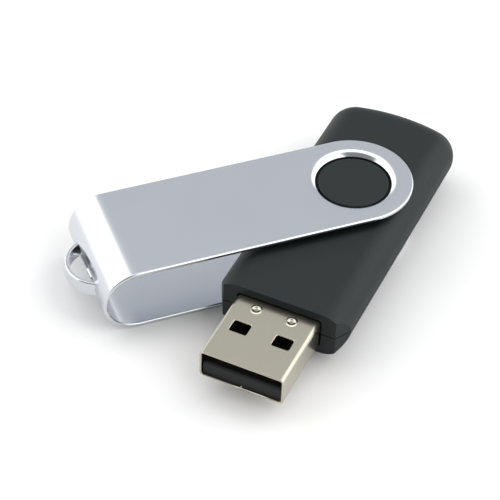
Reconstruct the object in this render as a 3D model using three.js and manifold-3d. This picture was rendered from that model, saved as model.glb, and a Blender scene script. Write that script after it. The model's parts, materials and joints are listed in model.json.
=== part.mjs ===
// USB flash drive with a metal clip that swivels about a boss on each face of the housing.
//
// Millimetres, +Z up. The plug points along -Y and the housing's rear end along +Y. The model is
// built about the swivel axis, at mid thickness, and is then moved so that the origin lies under
// the middle of its bounding box, on the surface that the clip's lower arm rests on.

import Module from 'manifold-3d';
import * as THREE from 'three';
import { mergeVertices } from 'three/addons/utils/BufferGeometryUtils.js';

const wasm = await Module();
wasm.setup();

// ---- Plug ----
const PLUG_WIDTH = 12.0;
const PLUG_HEIGHT = 4.5;
const PLUG_EXPOSED = 11.75; // length outside the housing
const PLUG_BURIED = 7.0; // length inside the housing
const PLUG_SHEET = 0.3;
const PLUG_EDGE_RADIUS = 0.6;
const WINDOW_WIDTH = 2.5;
const WINDOW_LENGTH = 2.0;
const WINDOW_SPACING = 6.1; // centre to centre, across the plug
const WINDOW_SETBACK = 6.15; // plug's front edge to the windows' centres
const DIMPLE_RADIUS = 0.55;
const DIMPLE_DEPTH = 0.15;
const DIMPLE_SPACING = 5.1;
const DIMPLE_SETBACK = 10.05;
const TAB_LENGTH = 1.6; // solder tabs behind the plug
const TAB_ROOT = 1.5;
const TAB_TOP = 0.4;
const TAB_BOTTOM = -1.6;

// ---- Insulator and contacts ----
const INSULATOR_SETBACK = 0.35; // plug's front edge to the insulator's front
const INSULATOR_BASE = 2.6; // length of its full-height base
const INSULATOR_FIT = 0.1; // side clearance in the plug
const TONGUE_TOP = 0.2; // height of the tongue's upper face
const CONTACT_WIDTH = 1.0;
const CONTACT_SHEET = 0.2;
const CONTACT_TUNNEL_FIT = 0.15;
const CONTACT_SPACING = 2.5; // outer contact to its inner neighbour
const INNER_CONTACT_SPACING = 2.0;
const POWER_SETBACK = 1.3; // plug's front edge to the two outer contacts
const DATA_SETBACK = 2.3; // plug's front edge to the two inner contacts
const CONTACT_FOOT = 2.0;
const CONTACT_STEP = 0.3;

// ---- Housing ----
const HOUSING_WIDTH = 19.0;
const WALL = 1.2;
const PLUG_FIT = 0.15; // plug to housing, each side
const PIVOT_TO_FRONT = 24.8;
const PIVOT_TO_REAR = 19.2;
const REAR_RADIUS = 26.0; // plan radius of the bowed rear end
const CORNER_RADIUS = 4.0; // plan radius of the rear corners
const EDGE_RADIUS = 3.5; // rounding of the long edges and the rear end
const FRONT_CHAMFER_WIDTH = 1.3;
const FRONT_CHAMFER_LENGTH = 2.3;
const BOSS_RADIUS = 5.0;
const BOSS_EDGE = 0.2;
const POST_RADIUS = 1.0;
const PIN_RADIUS = 0.5;
const PIN_LENGTH = 1.2;
const PIN_FIT = 0.1;
const POST_PLUG_GAP = 0.45;
const REAR_POST_SPACING = 11.0;
const REAR_POST_INSET = 5.2;
const FRONT_POST_INSET = 5.8;
const SADDLE_INSET = 3.4; // housing's front face to the rib that steadies the plug
const RIB = 1.0; // thickness of the inner ribs
const STOP_WIDTH = 1.2; // ribs behind the plug
const STOP_HEIGHT = 1.2;

// ---- Clip ----
const CLIP_WIDTH = 16.7;
const CLIP_SHEET = 0.6;
const CLIP_TURN = 45; // degrees from closed, clockwise seen from above
const BOSS_FIT = 0.4; // boss to the clip's hole
const LIP_RADIUS = 1.1; // outer radius of the lip rolled round each hole
const LIP_GAP = 0.3; // lip to the housing's flat face
const LIP_OVERLAP = 0.4; // flat width that the lip shares with its arm
const BOSS_RECESS = 0.25; // boss below the clip's outer face
const PLUG_SWING_GAP = 0.75; // plug's corners to the inside of the bend
const LOOP_RADIUS = 4.7; // key loop's outer radius in plan
const LOOP_REACH = 2.8; // key loop beyond the bend
const LOOP_HEIGHT = 2.4;
const LOOP_DROP = 0.4; // key loop's middle below mid thickness

// ---- Circuit board and what it carries ----
const BOARD_THICKNESS = 0.8;
const BOARD_TOP = 0;
const BOARD_SIDE_FIT = 0.5;
const BOARD_END_GAP = 0.2;
const BOARD_POST_GAP = 0.4;
const TAB_GAP = 0.3; // solder tab to board
const SHELF_DEPTH = 1.2; // board edge held between the shells' ribs
const CHIP_STANDOFF = 0.1;
const LEAD_SHEET = 0.15;
const LEAD_WIDTH = 0.22;
const LEAD_PITCH = 0.5;
const FLASH_BODY = { width: 12.0, length: 18.4, height: 1.0 };
const FLASH_LEADS_PER_END = 24;
const FLASH_LEAD_REACH = 0.8;
const FLASH_REAR_GAP = 1.6; // flash leads to the board's rear edge
const CONTROLLER_BODY = { width: 7.0, length: 7.0, height: 1.0 };
const CONTROLLER_LEADS_PER_SIDE = 12;
const CONTROLLER_LEAD_REACH = 1.0;
const CONTROLLER_SETBACK = 8.0; // board's front edge to the controller's centre
const CAPACITOR = { width: 0.8, length: 1.6, height: 0.8 };
const CAPACITOR_COUNT = 6;
const CAPACITOR_PITCH = 1.6;
const CAPACITOR_SETBACK = 3.6;
const RESISTOR = { width: 0.8, length: 1.6, height: 0.45 };
const RESISTOR_COUNT = 6;
const RESISTOR_PITCH = 1.6;
const RESISTOR_SETBACK = 14.2;
const CRYSTAL = { width: 5.0, length: 3.2, height: 1.1 };
const CRYSTAL_OFFSET = -3.0;
const REGULATOR_BODY = { width: 2.9, length: 1.3, height: 1.0 };
const REGULATOR_OFFSET = 3.4;
const REGULATOR_LEAD_REACH = 0.55;
const REGULATOR_LEAD_PITCH = 0.95;
const POWER_ROW_SETBACK = 17.8; // board's front edge to the crystal and regulator
const LED = { width: 1.6, length: 0.8, height: 0.4 };
const LED_LENS = { width: 0.9, length: 0.7, height: 0.3 };
const LED_REAR_GAP = 0.8;

// ---- Facets ----
const ROUND_STEPS = 48; // full circles
const BEND_STEPS = 20; // half circles of the bend
const CORNER_STEPS = 6;
const REAR_STEPS = 8;
const EDGE_STEPS = 6;
const SMALL_STEPS = 16;
const OVERRUN = 2.0; // how far a cutting solid passes a face
const SEAT = 0.1; // how far a joined feature sinks into its wall

// ---- Places that follow from the sizes ----
const plugFront = -(PIVOT_TO_FRONT + PLUG_EXPOSED);
const plugRear = PLUG_BURIED - PIVOT_TO_FRONT;
const cavityHalfHeight = PLUG_HEIGHT / 2 + PLUG_FIT;
const halfThickness = cavityHalfHeight + WALL;
const cavityHalfWidth = HOUSING_WIDTH / 2 - WALL;
const clipOuter = halfThickness + LIP_GAP + LIP_RADIUS;
const clipInner = clipOuter - CLIP_SHEET;
const clipHoleRadius = BOSS_RADIUS + BOSS_FIT;
const lipCentreRadius = clipHoleRadius + LIP_RADIUS;
const plugSwing = Math.hypot(plugFront, PLUG_WIDTH / 2) + PLUG_SWING_GAP;
const bendCentre = plugSwing - Math.sqrt(clipInner ** 2 - (PLUG_HEIGHT / 2) ** 2);
const loopCentre = bendCentre + clipOuter + LOOP_REACH - LOOP_RADIUS;
const frontPostX = PLUG_WIDTH / 2 + POST_PLUG_GAP + POST_RADIUS;
const frontPostY = FRONT_POST_INSET - PIVOT_TO_FRONT;
const rearPostX = REAR_POST_SPACING / 2;
const rearPostY = PIVOT_TO_REAR - REAR_POST_INSET;
const boardFront = plugRear + BOARD_END_GAP;
const boardRear = rearPostY - POST_RADIUS - BOARD_POST_GAP;
const boardShoulder = plugRear + TAB_LENGTH + TAB_GAP;
const boardHalfWidth = cavityHalfWidth - BOARD_SIDE_FIT;
const boardBottom = BOARD_TOP - BOARD_THICKNESS;

// ---- Materials ----
function material(color, roughness, metalness) {
  return new THREE.MeshStandardMaterial({ color, roughness, metalness });
}

const clipMetal = material(0xb9bec8, 0.28, 1.0);
const shellPlastic = material(0x2b2d2f, 0.62, 0.0);
const plugMetal = material(0xb4b0a6, 0.3, 1.0);
const blackPlastic = material(0x101112, 0.5, 0.0);
const contactGold = material(0xd8b25a, 0.25, 1.0);
const boardGreen = material(0x1f5a36, 0.45, 0.0);
const chipEpoxy = material(0x1b1b1d, 0.6, 0.0);
const crystalMetal = material(0xc9c9c4, 0.3, 1.0);
const capacitorCeramic = material(0x9a7a52, 0.5, 0.0);
const resistorCeramic = material(0x141416, 0.5, 0.0);
const ledPlastic = material(0xe9e4d4, 0.4, 0.0);

// ---- Solids ----
function toSolid(geometry) {
  const bare = geometry.clone();
  bare.deleteAttribute('normal');
  bare.deleteAttribute('uv');
  const merged = mergeVertices(bare);
  const corners = merged.index.array;
  const kept = [];
  for (let i = 0; i < corners.length; i += 3) {
    const [a, b, c] = corners.slice(i, i + 3);
    if (a !== b && b !== c && c !== a) kept.push(a, b, c);
  }
  const mesh = new wasm.Mesh({
    numProp: 3,
    vertProperties: new Float32Array(merged.attributes.position.array),
    triVerts: new Uint32Array(kept),
  });
  return new wasm.Manifold(mesh);
}

function toGeometry(solid) {
  const { vertProperties, triVerts } = solid.getMesh();
  const geometry = new THREE.BufferGeometry();
  geometry.setAttribute('position', new THREE.BufferAttribute(vertProperties, 3));
  geometry.setIndex(new THREE.BufferAttribute(triVerts, 1));
  geometry.computeVertexNormals();
  return geometry;
}

function joined(solids) {
  return solids.reduce((whole, next) => whole.add(next));
}

function block(xs, ys, zs) {
  const size = [xs, ys, zs].map(([low, high]) => high - low);
  const middle = [xs, ys, zs].map(([low, high]) => (low + high) / 2);
  return toSolid(new THREE.BoxGeometry(...size).translate(...middle));
}

function upright(radius, [low, high], x = 0, y = 0, steps = SMALL_STEPS) {
  const rod = new THREE.CylinderGeometry(radius, radius, high - low, steps);
  return toSolid(rod.rotateX(Math.PI / 2).translate(x, y, (low + high) / 2));
}

// A profile of [radius, height] points turned about Z.
function turned(profile, steps = ROUND_STEPS) {
  const points = profile.map(([radius, height]) => new THREE.Vector2(radius, height));
  return toSolid(new THREE.LatheGeometry(points, steps).rotateX(Math.PI / 2));
}

// A plan outline raised from z = 0.
function raised(points, depth) {
  const outline = new THREE.Shape(points.map(([x, y]) => new THREE.Vector2(x, y)));
  return new THREE.ExtrudeGeometry(outline, { depth, bevelEnabled: false });
}

// A side outline of [distance towards -Y, height] points, run across X and centred on it.
function runAcross(points, width) {
  const geometry = raised(points, width).translate(0, 0, -width / 2);
  const turn = new THREE.Matrix4().makeBasis(
    new THREE.Vector3(0, -1, 0),
    new THREE.Vector3(0, 0, 1),
    new THREE.Vector3(-1, 0, 0),
  );
  return geometry.applyMatrix4(turn);
}

function arc(x, y, radius, from, to, steps) {
  return Array.from({ length: steps + 1 }, (_, i) => {
    const angle = from + ((to - from) * i) / steps;
    return [x + radius * Math.cos(angle), y + radius * Math.sin(angle)];
  });
}

function withoutRepeats(points) {
  const apart = (a, b) => Math.hypot(a[0] - b[0], a[1] - b[1]) > 1e-6;
  return points.filter((point, i) => apart(point, points[(i + 1) % points.length]));
}

// Both signs of a value, for features that come in left and right pairs.
function mirrored(make) {
  return [-1, 1].map(make);
}

// A span between two values given in either order.
function span(a, b) {
  return [Math.min(a, b), Math.max(a, b)];
}

// ---- Housing ----
// Plan outline with a bowed rear end. It runs past the front face, where it is cut off.
function housingPlan(inset) {
  const side = HOUSING_WIDTH / 2 - inset;
  const front = -(PIVOT_TO_FRONT + EDGE_RADIUS + OVERRUN);
  const bowCentre = PIVOT_TO_REAR - REAR_RADIUS;
  const cornerX = HOUSING_WIDTH / 2 - CORNER_RADIUS;
  const cornerY = bowCentre + Math.sqrt((REAR_RADIUS - CORNER_RADIUS) ** 2 - cornerX ** 2);
  const meet = Math.atan2(cornerY - bowCentre, cornerX);
  const corner = CORNER_RADIUS - inset;
  return withoutRepeats([
    [side, front],
    ...arc(cornerX, cornerY, corner, 0, meet, CORNER_STEPS),
    ...arc(0, bowCentre, REAR_RADIUS - inset, meet, Math.PI - meet, REAR_STEPS),
    ...arc(-cornerX, cornerY, corner, Math.PI - meet, Math.PI, CORNER_STEPS),
    [-side, front],
  ]);
}

// The housing's rounded form, or the space inside it, by how far it lies within the outer skin.
function housingForm(inset) {
  const bevel = EDGE_RADIUS - inset;
  const depth = 2 * (halfThickness - EDGE_RADIUS);
  const points = housingPlan(inset).map(([x, y]) => new THREE.Vector2(x, y));
  const geometry = new THREE.ExtrudeGeometry(new THREE.Shape(points), {
    depth,
    bevelThickness: bevel,
    bevelSize: bevel,
    bevelOffset: -bevel,
    bevelSegments: EDGE_STEPS,
  });
  const form = toSolid(geometry.translate(0, 0, -depth / 2));
  const reach = HOUSING_WIDTH + OVERRUN;
  const behindFront = block(
    [-reach, reach],
    [inset - PIVOT_TO_FRONT, PIVOT_TO_REAR + OVERRUN],
    [-reach, reach],
  );
  return form.intersect(behindFront);
}

// Wedge that takes off one front corner.
function frontCornerCut(side) {
  const start = [HOUSING_WIDTH / 2 - FRONT_CHAMFER_WIDTH, -PIVOT_TO_FRONT];
  const end = [HOUSING_WIDTH / 2, FRONT_CHAMFER_LENGTH - PIVOT_TO_FRONT];
  const before = [2 * start[0] - end[0], 2 * start[1] - end[1]];
  const after = [2 * end[0] - start[0], 2 * end[1] - start[1]];
  const outside = [after[0] + OVERRUN, before[1] - OVERRUN];
  const height = 2 * (halfThickness + OVERRUN);
  const wedge = raised([before, outside, after], height).translate(0, 0, -height / 2);
  return toSolid(side > 0 ? wedge : wedge.rotateY(Math.PI));
}

function boss(side) {
  const top = clipOuter - BOSS_RECESS;
  const disc = turned([
    [0, halfThickness - WALL],
    [BOSS_RADIUS, halfThickness - WALL],
    [BOSS_RADIUS, top - BOSS_EDGE],
    [BOSS_RADIUS - BOSS_EDGE, top],
    [0, top],
  ]);
  const hollow = upright(BOSS_RADIUS - WALL, [0, top - WALL], 0, 0, ROUND_STEPS);
  const solid = disc.subtract(hollow);
  return { solid: side > 0 ? solid : solid.mirror([0, 0, 1]), hollow };
}

// Ribs that hold the board's four corners between the two shells.
function boardShelves(side) {
  const face = side > 0 ? BOARD_TOP : boardBottom;
  const zs = span(face, side * halfThickness);
  const fronts = [boardShoulder + TAB_GAP, boardRear - RIB];
  return fronts.flatMap((front) =>
    mirrored((hand) => {
      const xs = span(hand * (boardHalfWidth - SHELF_DEPTH), hand * (HOUSING_WIDTH / 2));
      return block(xs, [front, front + RIB], zs);
    }),
  );
}

// Ribs behind the plug that take the push of plugging in.
function plugStops(side) {
  const zs = span(side * (cavityHalfHeight - STOP_HEIGHT), side * halfThickness);
  const outer = PLUG_WIDTH / 2 - PLUG_SHEET - TAB_GAP;
  const front = plugRear + PLUG_FIT;
  return mirrored((hand) =>
    block(span(hand * (outer - STOP_WIDTH), hand * outer), [front, front + RIB], zs),
  );
}

// Ribs beside the plug, which steady it behind the front wall.
function plugSaddle(side) {
  const front = SADDLE_INSET - PIVOT_TO_FRONT;
  const zs = span(0, side * halfThickness);
  return mirrored((hand) => {
    const xs = span(hand * (PLUG_WIDTH / 2 + PLUG_FIT), hand * (HOUSING_WIDTH / 2));
    return block(xs, [front, front + RIB], zs);
  });
}

function postPlaces() {
  return mirrored((hand) => [
    [hand * frontPostX, frontPostY],
    [hand * rearPostX, rearPostY],
  ]).flat();
}

function posts(side) {
  return postPlaces().map(([x, y]) => upright(POST_RADIUS, span(0, side * halfThickness), x, y));
}

function pins(fit, length) {
  return postPlaces().map(([x, y]) => upright(PIN_RADIUS + fit, [-SEAT, length + fit], x, y));
}

function housingShell(side) {
  const reach = HOUSING_WIDTH + PIVOT_TO_FRONT;
  const zs = span(0, side * reach);
  const halfSpace = block([-reach, reach], [-reach, reach], zs);
  const plugOpening = block(
    [-PLUG_WIDTH / 2 - PLUG_FIT, PLUG_WIDTH / 2 + PLUG_FIT],
    [-PIVOT_TO_FRONT - OVERRUN, plugRear + PLUG_FIT],
    [-cavityHalfHeight, cavityHalfHeight],
  );
  const outside = mirrored(frontCornerCut).reduce((form, cut) => form.subtract(cut), housingForm(0));
  const button = boss(side);
  const inner = [...boardShelves(side), ...plugStops(side), ...plugSaddle(side), ...posts(side)];
  const ribs = joined(inner).intersect(housingForm(SEAT));
  const skin = outside.subtract(housingForm(WALL)).intersect(halfSpace);
  const hollow = side > 0 ? button.hollow : button.hollow.mirror([0, 0, 1]);
  const shell = skin.add(ribs).add(button.solid).subtract(hollow).subtract(plugOpening);
  if (side < 0) return shell.add(joined(pins(0, PIN_LENGTH)));
  return shell.subtract(joined(pins(PIN_FIT, PIN_LENGTH)));
}

// ---- Plug ----
function roundedBar(width, height, radius, ys) {
  const x = width / 2 - radius;
  const z = height / 2 - radius;
  const quarter = Math.PI / 2;
  const points = withoutRepeats([
    ...arc(x, z, radius, 0, quarter, CORNER_STEPS),
    ...arc(-x, z, radius, quarter, 2 * quarter, CORNER_STEPS),
    ...arc(-x, -z, radius, 2 * quarter, 3 * quarter, CORNER_STEPS),
    ...arc(x, -z, radius, 3 * quarter, 4 * quarter, CORNER_STEPS),
  ]);
  const bar = raised(points, ys[1] - ys[0]).rotateX(Math.PI / 2);
  return toSolid(bar.translate(0, ys[1], 0));
}

function plugWindows() {
  const middle = plugFront + WINDOW_SETBACK;
  return mirrored((hand) => {
    const x = (hand * WINDOW_SPACING) / 2;
    return block(
      [x - WINDOW_WIDTH / 2, x + WINDOW_WIDTH / 2],
      [middle - WINDOW_LENGTH / 2, middle + WINDOW_LENGTH / 2],
      [-PLUG_HEIGHT, PLUG_HEIGHT],
    );
  });
}

function plugDimples() {
  const top = PLUG_HEIGHT / 2;
  const y = plugFront + DIMPLE_SETBACK;
  const zs = [top - DIMPLE_DEPTH, top + DIMPLE_DEPTH];
  return mirrored((hand) => upright(DIMPLE_RADIUS, zs, (hand * DIMPLE_SPACING) / 2, y));
}

function solderTabs() {
  const outer = PLUG_WIDTH / 2;
  return mirrored((hand) =>
    block(
      span(hand * (outer - PLUG_SHEET), hand * outer),
      [plugRear - TAB_ROOT, plugRear + TAB_LENGTH],
      [TAB_BOTTOM, TAB_TOP],
    ),
  );
}

function plugShell() {
  const ys = [plugFront, plugRear];
  const past = [plugFront - OVERRUN, plugRear + OVERRUN];
  const outer = roundedBar(PLUG_WIDTH, PLUG_HEIGHT, PLUG_EDGE_RADIUS, ys);
  const inner = roundedBar(
    PLUG_WIDTH - 2 * PLUG_SHEET,
    PLUG_HEIGHT - 2 * PLUG_SHEET,
    PLUG_EDGE_RADIUS - PLUG_SHEET,
    past,
  );
  const cuts = joined([...plugWindows(), ...plugDimples()]);
  return outer.subtract(inner).subtract(cuts).add(joined(solderTabs()));
}

const contactPlaces = {
  contact_vbus: { x: -(INNER_CONTACT_SPACING / 2 + CONTACT_SPACING), setback: POWER_SETBACK },
  contact_data_minus: { x: -INNER_CONTACT_SPACING / 2, setback: DATA_SETBACK },
  contact_data_plus: { x: INNER_CONTACT_SPACING / 2, setback: DATA_SETBACK },
  contact_ground: { x: INNER_CONTACT_SPACING / 2 + CONTACT_SPACING, setback: POWER_SETBACK },
};

function plugInsulator() {
  const half = PLUG_WIDTH / 2 - PLUG_SHEET - INSULATOR_FIT;
  const floor = PLUG_SHEET - PLUG_HEIGHT / 2;
  const radius = PLUG_EDGE_RADIUS - PLUG_SHEET;
  const ys = [plugFront + INSULATOR_SETBACK, plugRear];
  const bar = roundedBar(2 * half, -2 * floor, radius, ys);
  const above = block([-PLUG_WIDTH, PLUG_WIDTH], [ys[0] - OVERRUN, plugRear - INSULATOR_BASE], [
    TONGUE_TOP,
    PLUG_HEIGHT,
  ]);
  const tunnels = Object.values(contactPlaces).map(({ x }) => {
    const reach = CONTACT_WIDTH / 2 + CONTACT_TUNNEL_FIT;
    return block([x - reach, x + reach], [plugRear - INSULATOR_BASE - SEAT, plugRear + SEAT], [
      TONGUE_TOP,
      TONGUE_TOP + CONTACT_SHEET + CONTACT_TUNNEL_FIT,
    ]);
  });
  return bar.subtract(above).subtract(joined(tunnels));
}

// A strip that lies on the tongue, runs through the base and steps down to the board.
function contact(setback) {
  const front = -(plugFront + setback);
  const step = -boardFront;
  const low = step - CONTACT_STEP;
  const end = step - CONTACT_FOOT;
  return runAcross(
    [
      [front, TONGUE_TOP],
      [front, TONGUE_TOP + CONTACT_SHEET],
      [step, TONGUE_TOP + CONTACT_SHEET],
      [low, BOARD_TOP + CONTACT_SHEET],
      [end, BOARD_TOP + CONTACT_SHEET],
      [end, BOARD_TOP],
      [low, BOARD_TOP],
      [step, TONGUE_TOP],
    ].reverse(),
    CONTACT_WIDTH,
  );
}

// ---- Clip ----
// The clip is modelled closed, with its bend in front of the plug.
function clipStrip() {
  const end = -CLIP_WIDTH;
  const quarter = Math.PI / 2;
  const outline = withoutRepeats([
    [end, -clipOuter],
    ...arc(bendCentre, 0, clipOuter, -quarter, quarter, BEND_STEPS),
    [end, clipOuter],
    [end, clipInner],
    ...arc(bendCentre, 0, clipInner, quarter, -quarter, BEND_STEPS),
    [end, -clipInner],
  ]);
  return toSolid(runAcross(outline, CLIP_WIDTH));
}

function clipPlan() {
  const half = CLIP_WIDTH / 2;
  const front = -(bendCentre + clipOuter + OVERRUN);
  const height = 2 * (clipOuter + OVERRUN);
  const points = withoutRepeats([[half, front], ...arc(0, 0, half, 0, Math.PI, ROUND_STEPS / 2), [
    -half,
    front,
  ]]);
  return toSolid(raised(points, height).translate(0, 0, -height / 2));
}

// Lip rolled inwards round the upper hole. Its end stands just off the housing.
function clipLip() {
  const rollHeight = clipOuter - LIP_RADIUS;
  const backRadius = LIP_RADIUS - CLIP_SHEET;
  const quarter = Math.PI / 2;
  const rim = lipCentreRadius + LIP_OVERLAP;
  return turned([
    [rim, clipInner],
    [rim, clipOuter],
    ...arc(lipCentreRadius, rollHeight, LIP_RADIUS, quarter, 2 * quarter, EDGE_STEPS),
    ...arc(lipCentreRadius, rollHeight, backRadius, 2 * quarter, quarter, EDGE_STEPS),
    [rim, clipInner],
  ]);
}

// Key loop: a band pushed out of the bend, which leaves a slot behind it.
function keyLoop() {
  const band = (radius) => arc(0, -loopCentre, radius, Math.PI, 2 * Math.PI, BEND_STEPS);
  const inner = LOOP_RADIUS - CLIP_SHEET;
  const outline = withoutRepeats([...band(LOOP_RADIUS), ...band(inner).reverse()]);
  const bottom = -LOOP_DROP - LOOP_HEIGHT / 2;
  const ring = toSolid(raised(outline, LOOP_HEIGHT).translate(0, 0, bottom));
  const zs = [bottom, bottom + LOOP_HEIGHT];
  const inside = bendCentre + Math.sqrt(clipInner ** 2 - Math.max(...zs.map((z) => z * z)));
  const foot = block([-LOOP_RADIUS, LOOP_RADIUS], [-inside, 0], zs);
  const slotHalf = inner - SEAT;
  const slot = block([-slotHalf, slotHalf], [-(bendCentre + clipOuter + OVERRUN), -bendCentre], zs);
  return { band: ring.subtract(foot), slot };
}

function swivelClip() {
  const reach = clipOuter + OVERRUN;
  const holes = upright(lipCentreRadius, [-reach, reach], 0, 0, ROUND_STEPS);
  const lip = clipLip();
  const loop = keyLoop();
  return clipStrip()
    .intersect(clipPlan())
    .subtract(holes)
    .add(lip)
    .add(lip.mirror([0, 0, 1]))
    .subtract(loop.slot)
    .add(loop.band);
}

// ---- Circuit board and chips ----
function circuitBoard() {
  const tongue = PLUG_WIDTH / 2 - PLUG_SHEET - TAB_GAP;
  const outline = [
    [-tongue, boardFront],
    [tongue, boardFront],
    [tongue, boardShoulder],
    [boardHalfWidth, boardShoulder],
    [boardHalfWidth, boardRear],
    [-boardHalfWidth, boardRear],
    [-boardHalfWidth, boardShoulder],
    [-tongue, boardShoulder],
  ];
  return raised(outline, BOARD_THICKNESS).translate(0, 0, boardBottom);
}

// A lead that leaves a chip's side at y = 0, towards -Y, and bends down to the board.
function lead(reach, height, width = LEAD_WIDTH) {
  return runAcross(
    [
      [-SEAT, height - LEAD_SHEET],
      [reach - LEAD_SHEET, height - LEAD_SHEET],
      [reach - LEAD_SHEET, 0],
      [reach, 0],
      [reach, height],
      [-SEAT, height],
    ],
    width,
  );
}

// One side's row of leads, on the side that `turn` quarter turns bring round from -Y.
function leadRow({ count, pitch, reach, height, edge, turn }) {
  return Array.from({ length: count }, (_, i) => {
    const x = (i - (count - 1) / 2) * pitch;
    const shape = lead(reach, height).translate(x, -edge, 0);
    return toSolid(shape.rotateZ((turn * Math.PI) / 2));
  });
}

function chipBody({ width, length, height }) {
  const zs = [CHIP_STANDOFF, CHIP_STANDOFF + height];
  return block([-width / 2, width / 2], [-length / 2, length / 2], zs);
}

function chip(body, count, reach, turns) {
  const height = CHIP_STANDOFF + body.height / 2 + LEAD_SHEET / 2;
  const rows = turns.flatMap((turn) => {
    const edge = (turn % 2 ? body.width : body.length) / 2;
    return leadRow({ count, pitch: LEAD_PITCH, reach, height, edge, turn });
  });
  return joined([chipBody(body), ...rows]);
}

function voltageRegulator() {
  const { height, length } = REGULATOR_BODY;
  const leadHeight = CHIP_STANDOFF + height / 2;
  const make = (x, turn) => {
    const shape = lead(REGULATOR_LEAD_REACH, leadHeight, 2 * LEAD_WIDTH).translate(x, -length / 2, 0);
    return toSolid(shape.rotateZ(turn * Math.PI));
  };
  const pair = mirrored((hand) => make(hand * REGULATOR_LEAD_PITCH, 0));
  return joined([chipBody(REGULATOR_BODY), ...pair, make(0, 1)]);
}

function statusLed() {
  const base = block([-LED.width / 2, LED.width / 2], [-LED.length / 2, LED.length / 2], [
    0,
    LED.height,
  ]);
  const { width, length, height } = LED_LENS;
  const zs = [LED.height - SEAT, LED.height + height];
  return base.add(block([-width / 2, width / 2], [-length / 2, length / 2], zs));
}

function slab({ width, length, height }) {
  return new THREE.BoxGeometry(width, length, height).translate(0, 0, height / 2);
}

// ---- Assembly ----
function piece(name, shape, look) {
  const geometry = shape.isBufferGeometry ? shape : toGeometry(shape);
  const mesh = new THREE.Mesh(geometry, look);
  mesh.name = name;
  return mesh;
}

function onTop(mesh, x, y) {
  mesh.position.set(x, y, BOARD_TOP);
  return mesh;
}

function underneath(mesh, x, y) {
  mesh.position.set(x, y, boardBottom);
  mesh.rotation.y = Math.PI;
  return mesh;
}

// Equal pieces in a row across the board, named with a number each.
function row(name, count, pitch, make) {
  return Array.from({ length: count }, (_, i) => {
    const x = (i - (count - 1) / 2) * pitch;
    return make(`${name}_${i + 1}`, x);
  });
}

function buildPlug() {
  const plug = new THREE.Group();
  plug.add(piece('plug_shell', plugShell(), plugMetal));
  plug.add(piece('plug_insulator', plugInsulator(), blackPlastic));
  for (const [name, { x, setback }] of Object.entries(contactPlaces)) {
    const strip = piece(name, contact(setback), contactGold);
    strip.position.x = x;
    plug.add(strip);
  }
  return plug;
}

function buildBoard() {
  const board = new THREE.Group();
  const flash = chip(FLASH_BODY, FLASH_LEADS_PER_END, FLASH_LEAD_REACH, [0, 2]);
  const flashY = boardRear - FLASH_REAR_GAP - FLASH_LEAD_REACH - FLASH_BODY.length / 2;
  const controller = chip(
    CONTROLLER_BODY,
    CONTROLLER_LEADS_PER_SIDE,
    CONTROLLER_LEAD_REACH,
    [0, 1, 2, 3],
  );
  const powerRow = boardFront + POWER_ROW_SETBACK;
  board.add(piece('circuit_board', circuitBoard(), boardGreen));
  board.add(onTop(piece('flash_memory_chip', flash, chipEpoxy), 0, flashY));
  board.add(
    underneath(piece('controller_chip', controller, chipEpoxy), 0, boardFront + CONTROLLER_SETBACK),
  );
  board.add(underneath(piece('crystal', slab(CRYSTAL), crystalMetal), CRYSTAL_OFFSET, powerRow));
  board.add(
    underneath(
      piece('voltage_regulator', voltageRegulator(), chipEpoxy),
      REGULATOR_OFFSET,
      powerRow,
    ),
  );
  board.add(onTop(piece('status_led', statusLed(), ledPlastic), 0, boardRear - LED_REAR_GAP));
  board.add(
    ...row('capacitor', CAPACITOR_COUNT, CAPACITOR_PITCH, (name, x) => {
      const part = piece(name, slab(CAPACITOR), capacitorCeramic);
      return onTop(part, x, boardFront + CAPACITOR_SETBACK);
    }),
  );
  board.add(
    ...row('resistor', RESISTOR_COUNT, RESISTOR_PITCH, (name, x) => {
      const part = piece(name, slab(RESISTOR), resistorCeramic);
      return underneath(part, x, boardFront + RESISTOR_SETBACK);
    }),
  );
  return board;
}

function buildDrive() {
  const drive = new THREE.Group();
  drive.add(piece('upper_shell', housingShell(1), shellPlastic));
  drive.add(piece('lower_shell', housingShell(-1), shellPlastic));
  drive.add(buildPlug());
  drive.add(buildBoard());
  const clip = piece('swivel_clip', swivelClip(), clipMetal);
  clip.rotation.z = -THREE.MathUtils.degToRad(CLIP_TURN);
  drive.add(clip);
  return drive;
}

// Stands the model on z = 0 with its bounding box centred on the Z axis.
function stood(model) {
  const box = new THREE.Box3().setFromObject(model, true);
  const middle = box.getCenter(new THREE.Vector3());
  model.position.set(-middle.x, -middle.y, -box.min.z);
  const whole = new THREE.Group();
  whole.add(model);
  return whole;
}

export default stood(buildDrive());
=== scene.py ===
"""Builds the looks of a swivel-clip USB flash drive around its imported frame."""

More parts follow.
